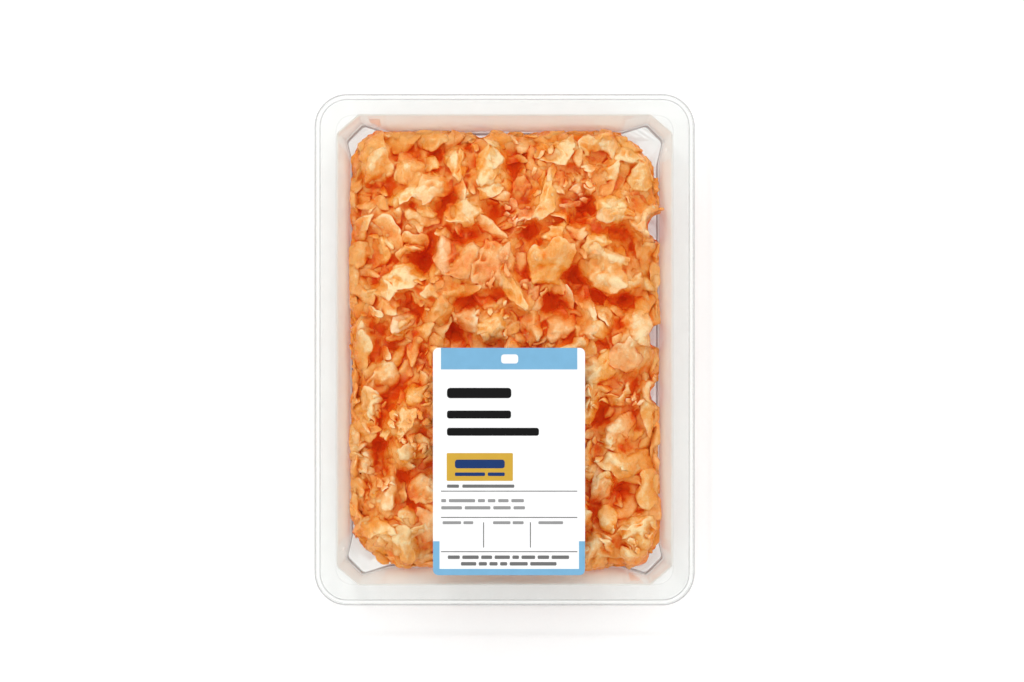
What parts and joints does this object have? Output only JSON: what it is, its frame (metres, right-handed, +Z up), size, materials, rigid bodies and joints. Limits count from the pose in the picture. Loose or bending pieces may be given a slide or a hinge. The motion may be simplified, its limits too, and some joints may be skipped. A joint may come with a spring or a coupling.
{
  "type": "pack of smoked salmon",
  "caption": "Sealed clear plastic tray filled with loose flakes of smoked salmon, with a paper label on its film lid; lies flat on its base.",
  "frame": {"origin": "middle of the tray's base, on the surface that the pack stands on", "axes": "+Z up out of the film, +Y along the pack's length away from the label, +X across its width"},
  "size_m": [0.139, 0.187, 0.0325],
  "materials": {
    "tray_plastic": "clear thermoformed plastic, slightly milky, glossy",
    "salmon": "moist flaked smoked salmon, orange to pale peach, softly glossy and translucent",
    "lid_film": "thin clear sealing film, glossy, lightly wrinkled",
    "label_paper": "coated white paper printed with plain fields of blue, yellow and grey"
  },
  "bodies": {
    "root": {"tray": "tray_plastic", "salmon_heap": "salmon", "film": "lid_film", "label": "label_paper"}
  },
  "joints": []
}
